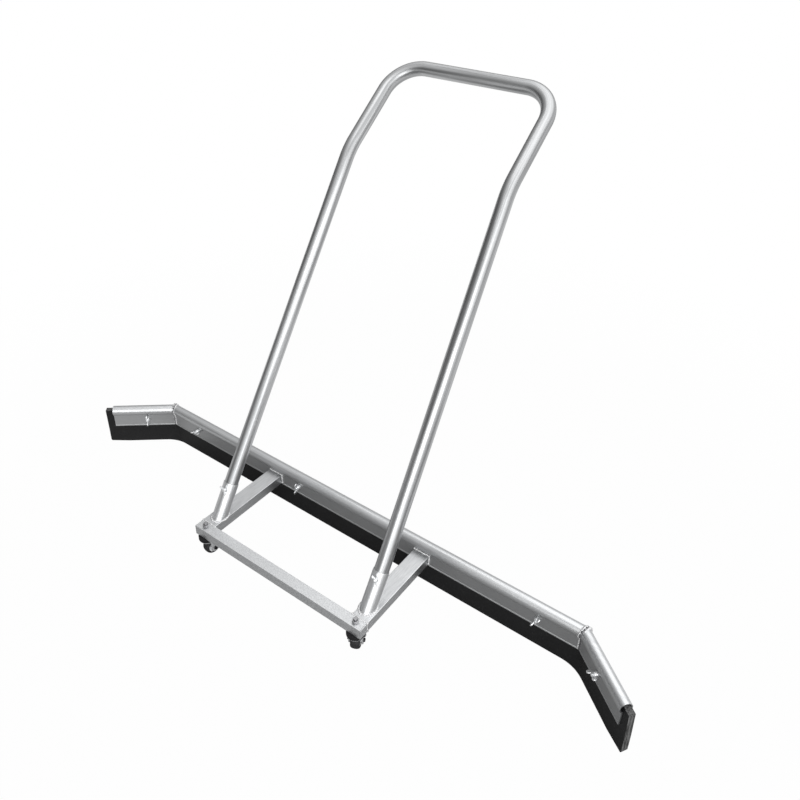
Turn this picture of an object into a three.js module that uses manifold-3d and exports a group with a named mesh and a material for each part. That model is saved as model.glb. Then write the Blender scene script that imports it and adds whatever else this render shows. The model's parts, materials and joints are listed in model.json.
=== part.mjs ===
// Court squeegee: a hooded aluminium beam with two raked wings clamps a thick rubber blade,
// two arms join it to a cross bar on braked castors, and a bent tube handle plugs into two sockets.
// Millimetres, +Z up, X along the beam, -Y the way it is pushed, floor at z = 0.
import * as THREE from 'three';
import { mergeVertices } from 'three/addons/utils/BufferGeometryUtils.js';
import Module from 'manifold-3d';

const wasm = await Module();
wasm.setup();

// Clearances and working values
const seatGap = 0.3;
const mitreGap = 0.3;
const cutOverrun = 5;
const weldTolerance = 1e-4;
const radiansPerDegree = Math.PI / 180;

// Beam: one hooded channel section, a centre length and two raked wings
const beamHalfLength = 600;
const wingLength = 163;
const wingRake = 40 * radiansPerDegree;
const beamWall = 2.5;
const hoodRadius = 13.3;
const hoodRise = 15;
const hoodWall = 2;
const flangeDrop = 6;
const flangeLip = 1.1;
const flangeLipHeight = 2.6;

// Rubber blade
const bladeThickness = 15;
const bladeRise = 3;
const bladeLeftOverhang = 20.6;
const bladeRightOverhang = 16.2;
const bladeFoldRadius = 8;
const bladeSweepRadius = 95;
const bladeEndRound = 6;
const bladeRightSlant = 7.5;
const bladeRightSkew = 0.17;
const bladeLean = 4.5;
const bladeEndLean = 1.5;
const bladeLeanFade = 45;
const bladeLeanPower = 1.5;
const bladeEdgeChamfer = 1.2;

// Frame: cross bar and arms
const frameHalfWidth = 240;
const barDepth = 25;
const barHeight = 25;
const armWidth = 40;
const armLength = 224;
const frameWall = 2;
const capThickness = 2;

// Handle and its sockets
const tubeRadius = 16;
const tubeWall = 1.5;
const legInset = 23;
const socketSetback = 31;
const leanAngle = 31.8 * radiansPerDegree;
const upperAngle = 51 * radiansPerDegree;
const legLength = 893;
const upperLength = 238;
const topHalfWidth = 200.5;
const kinkRadius = 300;
const cornerRadius = 74;
const drawInRadius = 260;
const drawInRise = 16;
const socketLength = 84;
const socketWall = 1.2;
const socketClearance = 0.3;
const socketScrewHeight = 68;
const socketScrewFacing = 12 * radiansPerDegree;

// Wing nuts, wing screws and bolts
const boltRadius = 3;
const boltHeadRadius = 8;
const boltHeadHeight = 3.4;
const boltHeadShoulder = { radius: 6.4, height: 2.4 };
const boltEndLength = 5;
const boltDrop = 22.7;
const outerBoltInset = 94;
const innerBoltShare = 0.2866;
const wingBoltReach = 73;
const nutHeight = 8;
const nutBaseRadius = 6.6;
const nutTopRadius = 5.2;
const wingSpan = 33;
const wingHeight = 17;
const wingThickness = 2.6;
const wingTipRadius = 5;
const screwHeadShare = 0.72;
const bossHeight = 2;
const bossRadius = 5.6;

// Castors; the wheel trails and the pedal points along the heading
const castorHeight = 58;
const castorInset = 22;
const wheelRadius = 20;
const wheelWidth = 21;
const tyreDepth = 6;
const tyreRound = 3.5;
const hubFaceSink = 1.2;
const castorTrail = 9;
const stemRadius = 4;
const stemHeadRadius = 7;
const stemHeadHeight = 2;
const stemNutHeight = 6.5;
const stemNutRadius = 7.5;
const stemEndLength = 5;
const cupRadius = 19.5;
const cupHeight = 10;
const cupRound = 1.2;
const cupGrooveHeight = 1.6;
const crownRadius = 17;
const crownThickness = 3;
const cheekThickness = 2.5;
const cheekFrontX = -2;
const cheekEndRadius = 9;
const wheelSideGap = 2.5;
const axleRadius = 3;
const axleHeadRadius = 4.5;
const axleHeadHeight = 3;
const pedalPivotX = 13;
const pedalPivotZ = 31;
const pedalPinRadius = 1.8;
const pedalPinHeadHeight = 1.2;
const pedalArmRadius = 4.5;
const pedalReach = 34;
const pedalWall = 2.6;
const pedalPlateThickness = 3;
const pedalTipRound = 9;
const brakeGap = 1.5;
const shoeFrontAngle = 62 * radiansPerDegree;
const shoeBackAngle = 34 * radiansPerDegree;
const shoeSteps = 5;
const leftCastorHeading = 82 * radiansPerDegree;
const rightCastorHeading = 116 * radiansPerDegree;

// Facet counts
const tubeSides = 24;
const turnedSides = 24;
const boltSides = 12;
const bossSides = 12;
const hoodSteps = 18;
const hoodInnerSteps = 16;
const cornerSteps = 8;
const kinkSteps = 4;
const drawInSteps = 2;
const foldSteps = 6;
const endRoundSteps = 4;
const openShares = [0.4, 0.6, 0.8, 0.97];

// Turn of each wing nut about its bolt, from wings level, in the order of the bolts
const nutTurns = [90, 14, 84, 40, 57, 20].map((turn) => turn * radiansPerDegree);
const socketScrewTurns = [146, 138].map((turn) => turn * radiansPerDegree);

// Places worked out from the sizes
const frameBottom = castorHeight;
const frameTop = frameBottom + barHeight;
const flangeBottom = frameBottom - flangeDrop;
const hoodCentreZ = frameTop + hoodRise;
const slotWidth = bladeThickness + 2 * seatGap;
const beamWidth = slotWidth + 2 * beamWall;
const beamCentreY = beamWidth / 2;
const hoodCentreY = beamWidth - hoodRadius;
const hoodInner = hoodRadius - hoodWall;
const bladeTop = hoodCentreZ + bladeRise;
const boltZ = hoodCentreZ - boltDrop;
const boltHoleRadius = boltRadius + seatGap;
const barFrontY = -armLength - barDepth;
const barBackY = -armLength;
const legX = frameHalfWidth - legInset;
const castorX = frameHalfWidth - castorInset;
const castorY = barFrontY + barDepth / 2;
const socketInner = tubeRadius + socketClearance;
const socketOuter = socketInner + socketWall;
const legBase = new THREE.Vector3(legX, barBackY + socketSetback, frameTop);

// Finishes
const finishes = {
  beam: { color: 0xa9abad, roughness: 0.34, metalness: 0.9 },
  frame: { color: 0xc4c6c8, roughness: 0.38, metalness: 0.9 },
  handle: { color: 0xd2d4d6, roughness: 0.22, metalness: 0.95 },
  rubber: { color: 0x1c1c1d, roughness: 0.75, metalness: 0 },
  zinc: { color: 0xc9cbcd, roughness: 0.3, metalness: 0.95 },
  black: { color: 0x141416, roughness: 0.5, metalness: 0 },
  hub: { color: 0xb4b6b8, roughness: 0.55, metalness: 0 },
};

const part = new THREE.Group();

// Turns a closed three.js geometry into a solid: shared vertices merged, empty triangles
// dropped, faces pointing out.
function toSolid(geometry) {
  const bare = geometry.clone();
  bare.deleteAttribute('normal');
  bare.deleteAttribute('uv');
  const merged = mergeVertices(bare, weldTolerance);
  const places = merged.attributes.position;
  const source = merged.index.array;
  const corner = [new THREE.Vector3(), new THREE.Vector3(), new THREE.Vector3()];
  const kept = [];
  let volume = 0;
  for (let i = 0; i < source.length; i += 3) {
    const [a, b, c] = [source[i], source[i + 1], source[i + 2]];
    if (a === b || b === c || a === c) continue;
    kept.push(a, b, c);
    [a, b, c].forEach((vertex, k) => corner[k].fromBufferAttribute(places, vertex));
    volume += corner[0].dot(corner[1].cross(corner[2]));
  }
  if (volume < 0) kept.reverse();
  return new wasm.Manifold(new wasm.Mesh({
    numProp: 3,
    vertProperties: new Float32Array(places.array),
    triVerts: new Uint32Array(kept),
  }));
}

function toGeometry(solid) {
  const mesh = solid.getMesh();
  const geometry = new THREE.BufferGeometry();
  const places = new Float32Array(mesh.vertProperties);
  geometry.setAttribute('position', new THREE.BufferAttribute(places, 3));
  geometry.setIndex(new THREE.BufferAttribute(new Uint32Array(mesh.triVerts), 1));
  geometry.computeVertexNormals();
  return geometry;
}

function addPiece(parent, name, solid, finish) {
  const mesh = new THREE.Mesh(toGeometry(solid), new THREE.MeshStandardMaterial(finishes[finish]));
  mesh.name = name;
  parent.add(mesh);
  return mesh;
}

// Extrusions of an outline, starting at zero along the named axis
function alongZ(outline, length) {
  return new THREE.ExtrudeGeometry(outline, { depth: length, bevelEnabled: false, curveSegments: 1 });
}

function alongY(outline, length) {
  return alongZ(outline, length).rotateX(Math.PI / 2).translate(0, length, 0);
}

function alongX(outline, length) {
  const axes = new THREE.Matrix4().makeBasis(
    new THREE.Vector3(0, 1, 0), new THREE.Vector3(0, 0, 1), new THREE.Vector3(1, 0, 0));
  return alongZ(outline, length).applyMatrix4(axes);
}

function rectangle(width, height) {
  const outline = new THREE.Shape();
  outline.moveTo(-width / 2, -height / 2);
  outline.lineTo(width / 2, -height / 2);
  outline.lineTo(width / 2, height / 2);
  outline.lineTo(-width / 2, height / 2);
  outline.closePath();
  return outline;
}

function boxTube(width, height, wall) {
  const outline = rectangle(width, height);
  outline.holes.push(rectangle(width - 2 * wall, height - 2 * wall));
  return outline;
}

function disc(radius, sides) {
  const points = [];
  for (let i = 0; i < sides; i += 1) {
    const angle = (i / sides) * 2 * Math.PI;
    points.push(new THREE.Vector2(radius * Math.cos(angle), radius * Math.sin(angle)));
  }
  return new THREE.Shape(points);
}

function ring(outer, inner, sides) {
  const outline = disc(outer, sides);
  outline.holes.push(disc(inner, sides));
  return outline;
}

// A rod or bore of a given radius along Y, centred on x and z, from yStart to yEnd
function rodAlongY(radius, x, z, yStart, yEnd, sides = boltSides) {
  return toSolid(alongY(disc(radius, sides), yEnd - yStart).translate(x, yStart, z));
}

function rodAlongZ(radius, zStart, zEnd, sides = boltSides) {
  return toSolid(alongZ(disc(radius, sides), zEnd - zStart).translate(0, 0, zStart));
}

// A turned piece about Z from (radius, height) pairs that close on themselves or on the axis
function turned(pairs, sides = turnedSides) {
  const points = pairs.map(([radius, height]) => new THREE.Vector2(radius, height));
  return toSolid(new THREE.LatheGeometry(points, sides).rotateX(Math.PI / 2));
}

function arcPoints(centreX, centreY, radius, start, end, steps) {
  const points = [];
  for (let i = 0; i <= steps; i += 1) {
    const angle = start + ((end - start) * i) / steps;
    points.push([centreX + radius * Math.cos(angle), centreY + radius * Math.sin(angle)]);
  }
  return points;
}

function shapeOf(pairs) {
  return new THREE.Shape(pairs.map(([u, v]) => new THREE.Vector2(u, v)));
}

// Where the six blade bolts stand: a point on the flange face and the way the bolt faces
function boltPlaces() {
  const places = [];
  const wingX = beamHalfLength + wingBoltReach * Math.cos(wingRake);
  const wingY = -wingBoltReach * Math.sin(wingRake);
  const outerBoltX = beamHalfLength - outerBoltInset;
  const innerBoltX = outerBoltX * innerBoltShare;
  places.push({ x: -wingX, y: wingY, turn: wingRake });
  places.push({ x: -outerBoltX, y: 0, turn: 0 });
  places.push({ x: -innerBoltX, y: 0, turn: 0 });
  places.push({ x: innerBoltX, y: 0, turn: 0 });
  places.push({ x: outerBoltX, y: 0, turn: 0 });
  places.push({ x: wingX, y: wingY, turn: -wingRake });
  return places;
}

function placedAtBolt(solid, place) {
  const turn = new THREE.Matrix4().makeRotationZ(place.turn);
  turn.setPosition(place.x, place.y, boltZ);
  return solid.transform(turn.elements);
}

function boltHoles(radius) {
  const hole = () => rodAlongY(radius, 0, 0, -cutOverrun, beamWidth + cutOverrun);
  return boltPlaces().map((place) => placedAtBolt(hole(), place));
}

// Section of the beam in (y, z): front flange, back wall and a round hood that is flush with
// the back wall and bulges over the flange
function beamSection() {
  const backWallY = beamWidth - beamWall;
  const frontTurn = Math.PI + Math.acos(hoodCentreY / hoodRadius);
  const innerFront = Math.PI + Math.acos((hoodCentreY - beamWall) / hoodInner);
  const innerBack = -Math.acos((backWallY - hoodCentreY) / hoodInner);
  return shapeOf([
    [beamWall, flangeBottom],
    [-flangeLip, flangeBottom],
    [-flangeLip, flangeBottom + flangeLipHeight],
    [0, flangeBottom + flangeLipHeight + flangeLip],
    ...arcPoints(hoodCentreY, hoodCentreZ, hoodRadius, frontTurn, 0, hoodSteps),
    [beamWidth, flangeBottom],
    [backWallY, flangeBottom],
    ...arcPoints(hoodCentreY, hoodCentreZ, hoodInner, innerBack, innerFront, hoodInnerSteps),
  ]);
}

function addBeam() {
  const halfRake = wingRake / 2;
  const spare = 2 * (beamWidth + hoodRadius) * Math.tan(halfRake) + cutOverrun;
  const mitreOffset = beamHalfLength * Math.cos(halfRake);
  const rightMitre = [Math.cos(halfRake), -Math.sin(halfRake), 0];
  const leftMitre = [-Math.cos(halfRake), -Math.sin(halfRake), 0];
  const reversed = (normal) => normal.map((value) => -value);
  const section = beamSection();
  const drill = (solid) => boltHoles(boltHoleRadius).reduce((body, hole) => body.subtract(hole), solid);

  const centreLength = 2 * (beamHalfLength + spare);
  let centre = toSolid(alongX(section, centreLength).translate(-centreLength / 2, 0, 0));
  for (const mitre of [leftMitre, rightMitre]) {
    centre = centre.trimByPlane(reversed(mitre), -(mitreOffset - mitreGap / 2));
  }
  addPiece(part, 'beam_centre', drill(centre), 'beam');

  const rightWing = alongX(section, wingLength + spare).translate(-spare, 0, 0);
  rightWing.rotateZ(-wingRake).translate(beamHalfLength, 0, 0);
  const leftWing = alongX(section, wingLength + spare).translate(-wingLength, 0, 0);
  leftWing.rotateZ(wingRake).translate(-beamHalfLength, 0, 0);
  const wings = { beam_wing_left: [leftWing, leftMitre], beam_wing_right: [rightWing, rightMitre] };
  for (const [name, [geometry, mitre]] of Object.entries(wings)) {
    const wing = toSolid(geometry).trimByPlane(mitre, mitreOffset + mitreGap / 2);
    addPiece(part, name, drill(wing), 'beam');
  }
}

// Stations of the blade's centre line at one height: points with the way to the back face.
// The two folds are tight inside the beam and open out towards the floor. The free part leans
// forward, less so at the ends, and the right end is cut at a slant and a little askew.
function bladeStations({ foldRadius, endCut, slant, openness }) {
  const cornerRun = beamCentreY * Math.tan(wingRake / 2);
  const cornerX = beamHalfLength + cornerRun;
  const tangent = foldRadius * Math.tan(wingRake / 2);
  const lean = bladeLean * openness ** bladeLeanPower;
  const endLean = bladeEndLean * openness ** bladeLeanPower;
  const folded = [];
  for (let i = 0; i <= foldSteps; i += 1) {
    const turn = (wingRake * i) / foldSteps;
    folded.push({
      x: cornerX - tangent + foldRadius * Math.sin(turn),
      y: beamCentreY - foldRadius * (1 - Math.cos(turn)),
      normal: [Math.sin(turn), Math.cos(turn)],
      lean,
    });
  }
  const along = [Math.cos(wingRake), -Math.sin(wingRake)];
  const endAt = (length, skew, stationLean) => ({
    x: cornerX + length * along[0],
    y: beamCentreY + length * along[1],
    normal: [Math.sin(wingRake) - skew * along[0], Math.cos(wingRake) - skew * along[1]],
    lean: stationLean,
  });
  const run = (overhang, skew) => {
    const length = cornerRun + wingLength + overhang - endCut;
    return [...folded, endAt(length - bladeLeanFade, 0, lean), endAt(length, skew, endLean)];
  };
  const mirrored = (station) => ({
    ...station,
    x: -station.x,
    normal: [-station.normal[0], station.normal[1]],
  });
  const left = run(bladeLeftOverhang, 0).map(mirrored);
  return [...left.reverse(), ...run(bladeRightOverhang + slant, bladeRightSkew)];
}

// Heights of the blade's rows, with how open, folded, cut and thick the blade is at each
function bladeRows() {
  const heights = [0, bladeEdgeChamfer];
  for (let i = 2; i <= endRoundSteps; i += 1) {
    heights.push(bladeEndRound * (1 - Math.cos((Math.PI / 2) * (i / endRoundSteps))));
  }
  openShares.forEach((share) => heights.push(flangeBottom * share));
  heights.push(bladeTop);
  return heights.map((z) => {
    const openness = Math.max(0, 1 - z / (flangeBottom * openShares[openShares.length - 1]));
    const blend = openness * openness * (3 - 2 * openness);
    const below = Math.max(0, bladeEndRound - z);
    return {
      z,
      openness,
      foldRadius: bladeFoldRadius + (bladeSweepRadius - bladeFoldRadius) * blend,
      endCut: bladeEndRound - Math.sqrt(bladeEndRound ** 2 - below ** 2),
      half: bladeThickness / 2 - Math.max(0, bladeEdgeChamfer - z),
      slant: bladeRightSlant * (1 - z / bladeTop),
    };
  });
}

function addBlade() {
  const rows = bladeRows();
  const places = [];
  const columns = bladeStations(rows[0]).length;
  for (const row of rows) {
    for (const side of [-1, 1]) {
      for (const { x, y, normal, lean } of bladeStations(row)) {
        const offset = side * row.half - lean;
        places.push(x + offset * normal[0], y + offset * normal[1], row.z);
      }
    }
  }
  const at = (row, side, column) => (row * 2 + side) * columns + column;
  const faces = [];
  const quad = (a, b, c, d) => faces.push(a, b, c, a, c, d);
  for (let column = 0; column + 1 < columns; column += 1) {
    const next = column + 1;
    const top = rows.length - 1;
    for (let row = 0; row < top; row += 1) {
      quad(at(row, 0, column), at(row, 0, next), at(row + 1, 0, next), at(row + 1, 0, column));
      quad(at(row, 1, next), at(row, 1, column), at(row + 1, 1, column), at(row + 1, 1, next));
    }
    quad(at(0, 1, column), at(0, 1, next), at(0, 0, next), at(0, 0, column));
    quad(at(top, 0, column), at(top, 0, next), at(top, 1, next), at(top, 1, column));
  }
  for (let row = 0; row + 1 < rows.length; row += 1) {
    const last = columns - 1;
    quad(at(row, 1, 0), at(row, 0, 0), at(row + 1, 0, 0), at(row + 1, 1, 0));
    quad(at(row, 0, last), at(row, 1, last), at(row + 1, 1, last), at(row + 1, 0, last));
  }
  const geometry = new THREE.BufferGeometry();
  geometry.setAttribute('position', new THREE.Float32BufferAttribute(places, 3));
  geometry.setIndex(faces);
  const blade = boltHoles(boltHoleRadius).reduce((body, hole) => body.subtract(hole), toSolid(geometry));
  addPiece(part, 'rubber_blade', blade, 'rubber');
}

function addFrame() {
  const barCentreZ = frameTop - barHeight / 2;
  const barLength = 2 * (frameHalfWidth - capThickness - seatGap);
  const barSection = boxTube(barDepth, barHeight, frameWall);
  let bar = toSolid(alongX(barSection, barLength).translate(-barLength / 2, castorY, barCentreZ));
  for (const side of [-1, 1]) {
    const hole = rodAlongZ(stemRadius + seatGap, frameBottom - cutOverrun, frameTop + cutOverrun);
    bar = bar.subtract(hole.translate([side * castorX, castorY, 0]));
  }
  addPiece(part, 'cross_bar', bar, 'frame');

  const armRun = armLength - 2 * seatGap;
  const armX = frameHalfWidth - armWidth / 2;
  for (const [name, side] of [['left', -1], ['right', 1]]) {
    const cap = toSolid(alongX(rectangle(barDepth, barHeight), capThickness));
    const capX = side > 0 ? frameHalfWidth - capThickness : -frameHalfWidth;
    addPiece(part, `bar_end_plate_${name}`, cap.translate([capX, castorY, barCentreZ]), 'frame');
    const arm = toSolid(alongY(boxTube(armWidth, barHeight, frameWall), armRun));
    const placed = arm.translate([side * armX, barBackY + seatGap, barCentreZ]);
    addPiece(part, `arm_${name}`, placed, 'frame');
  }
}

// Places a piece from the leaning frame of a leg: its z runs up the leg, its -y faces forward
function leaned(solid, side) {
  const lean = new THREE.Matrix4().makeRotationX(-leanAngle);
  lean.setPosition(side * legBase.x, legBase.y, legBase.z);
  return solid.transform(lean.elements);
}

function addSockets() {
  const below = socketOuter * Math.tan(leanAngle) + cutOverrun;
  const holeRadius = boltRadius + seatGap;
  const facing = new THREE.Matrix4().makeRotationZ(socketScrewFacing).elements;
  for (const [index, name, side] of [[0, 'left', -1], [1, 'right', 1]]) {
    const tube = toSolid(alongZ(ring(socketOuter, socketInner, tubeSides), socketLength + below));
    const bossEnd = -socketOuter - bossHeight;
    const bore = rodAlongY(holeRadius, 0, socketScrewHeight, bossEnd - cutOverrun, 0);
    const hole = bore.transform(facing);
    const socket = tube.translate([0, 0, -below]).subtract(hole);
    const seated = leaned(socket, side).trimByPlane([0, 0, 1], frameTop + seatGap);
    addPiece(part, `socket_${name}`, seated, 'frame');

    const saddle = rodAlongZ(socketOuter + seatGap, 0, socketLength, tubeSides);
    const rod = rodAlongY(bossRadius, 0, socketScrewHeight, bossEnd, 0, bossSides);
    const boss = rod.transform(facing).subtract(saddle).subtract(hole);
    addPiece(part, `socket_boss_${name}`, leaned(boss, side), 'frame');

    const tip = -tubeRadius - seatGap;
    const shank = rodAlongY(boltRadius, 0, 0, bossEnd - (screwHeadShare * nutHeight) / 2, tip);
    const head = wingHead(0).scale(screwHeadShare).translate([0, bossEnd - seatGap, 0]);
    const screw = head.add(shank);
    const turn = new THREE.Matrix4().makeRotationY(-socketScrewTurns[index]);
    const turnedScrew = screw.transform(turn.elements).translate([0, 0, socketScrewHeight]);
    addPiece(part, `socket_screw_${name}`, leaned(turnedScrew.transform(facing), side), 'zinc');
  }
}

// A wing nut or screw head on the XZ plane, pointing to -y, its wings along X
function wingHead(boreRadius) {
  const hub = turned([
    [0, 0], [nutBaseRadius, 0], [nutBaseRadius, nutHeight / 4], [nutTopRadius, nutHeight], [0, nutHeight],
  ], boltSides).transform(new THREE.Matrix4().makeRotationX(Math.PI / 2).elements);
  const tipX = wingSpan / 2 - wingTipRadius;
  const tipY = wingHeight - wingTipRadius;
  const wing = shapeOf([
    [0, nutHeight / 4],
    [nutBaseRadius, nutHeight / 4],
    ...arcPoints(tipX, tipY, wingTipRadius, -Math.PI / 4, Math.PI, 6),
    [nutTopRadius / 2, nutHeight],
    [0, nutHeight],
  ]);
  const plate = toSolid(alongZ(wing, wingThickness)).translate([0, 0, -wingThickness / 2]);
  const forward = new THREE.Matrix4().makeRotationZ(Math.PI);
  const half = new THREE.Matrix4().makeRotationY(Math.PI);
  const first = plate.transform(forward.elements);
  const head = hub.add(first).add(first.transform(half.elements));
  if (boreRadius === 0) return head;
  return head.subtract(rodAlongY(boreRadius, 0, 0, -wingHeight - cutOverrun, cutOverrun));
}

function addBladeFasteners() {
  const headSeat = beamWidth + seatGap;
  const shankEnd = -(seatGap + nutHeight + boltEndLength);
  boltPlaces().forEach((place, index) => {
    const dome = turned([
      [0, 0], [boltHeadRadius, 0],
      [boltHeadShoulder.radius, boltHeadShoulder.height], [0, boltHeadHeight],
    ]).transform(new THREE.Matrix4().makeRotationX(-Math.PI / 2).elements).translate([0, headSeat, 0]);
    const shank = rodAlongY(boltRadius, 0, 0, shankEnd, headSeat + boltHeadHeight / 2);
    addPiece(part, `blade_bolt_${index + 1}`, placedAtBolt(dome.add(shank), place), 'zinc');
    const turn = new THREE.Matrix4().makeRotationY(-nutTurns[index]);
    const nut = wingHead(boltHoleRadius).transform(turn.elements).translate([0, -seatGap, 0]);
    addPiece(part, `wing_nut_${index + 1}`, placedAtBolt(nut, place), 'zinc');
  });
}

// A route of straight runs and arcs, given as stations, so that straight runs cost no facets
class StationCurve extends THREE.Curve {
  constructor(stations) {
    super();
    this.stations = stations;
  }

  getPointAt(share, target = new THREE.Vector3()) {
    const index = Math.round(share * (this.stations.length - 1));
    return target.copy(this.stations[index].point);
  }

  getTangentAt(share, target = new THREE.Vector3()) {
    const index = Math.round(share * (this.stations.length - 1));
    return target.copy(this.stations[index].tangent);
  }
}

// Stations of a polyline whose corners are rounded, each with its tangent
function roundedRoute(corners) {
  const stations = [];
  const first = corners[0].point;
  const start = corners[1].point.clone().sub(first).normalize();
  stations.push({ point: first.clone(), tangent: start });
  for (let i = 1; i + 1 < corners.length; i += 1) {
    const { point, radius, steps } = corners[i];
    const before = point.clone().sub(corners[i - 1].point).normalize();
    const after = corners[i + 1].point.clone().sub(point).normalize();
    const turn = before.angleTo(after);
    const tangentLength = radius * Math.tan(turn / 2);
    const inward = after.clone().sub(before.clone().multiplyScalar(before.dot(after))).normalize();
    const from = point.clone().addScaledVector(before, -tangentLength);
    for (let k = 0; k <= steps; k += 1) {
      const angle = (turn * k) / steps;
      const place = from.clone().addScaledVector(before, radius * Math.sin(angle));
      place.addScaledVector(inward, radius * (1 - Math.cos(angle)));
      const tangent = before.clone().multiplyScalar(Math.cos(angle));
      stations.push({ point: place, tangent: tangent.addScaledVector(inward, Math.sin(angle)) });
    }
  }
  const last = corners[corners.length - 1].point;
  const end = last.clone().sub(corners[corners.length - 2].point).normalize();
  stations.push({ point: last.clone(), tangent: end });
  return stations;
}

function addHandle() {
  const lower = new THREE.Vector3(0, Math.sin(leanAngle), Math.cos(leanAngle));
  const upper = new THREE.Vector3(0, Math.sin(upperAngle), Math.cos(upperAngle));
  const footRise = tubeRadius * Math.tan(leanAngle) + 2 * seatGap / Math.cos(leanAngle);
  const leftToRight = [];
  for (const side of [-1, 1]) {
    const onSide = (point, x) => new THREE.Vector3(side * x, point.y, point.z);
    const foot = legBase.clone().addScaledVector(lower, footRise);
    const drawIn = legBase.clone().addScaledVector(lower, socketLength + drawInRise);
    const kink = legBase.clone().addScaledVector(lower, legLength);
    const corner = kink.clone().addScaledVector(upper, upperLength);
    const leg = [
      { point: onSide(foot, legX) },
      { point: onSide(drawIn, legX), radius: drawInRadius, steps: drawInSteps },
      { point: onSide(kink, topHalfWidth), radius: kinkRadius, steps: kinkSteps },
      { point: onSide(corner, topHalfWidth), radius: cornerRadius, steps: cornerSteps },
    ];
    leftToRight.push(side < 0 ? leg : leg.reverse());
  }
  const stations = roundedRoute(leftToRight.flat());
  const tube = new THREE.ExtrudeGeometry(ring(tubeRadius, tubeRadius - tubeWall, tubeSides), {
    steps: stations.length - 1,
    extrudePath: new StationCurve(stations),
    curveSegments: 1,
  });
  addPiece(part, 'handle_tube', toSolid(tube), 'handle');
}

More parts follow.
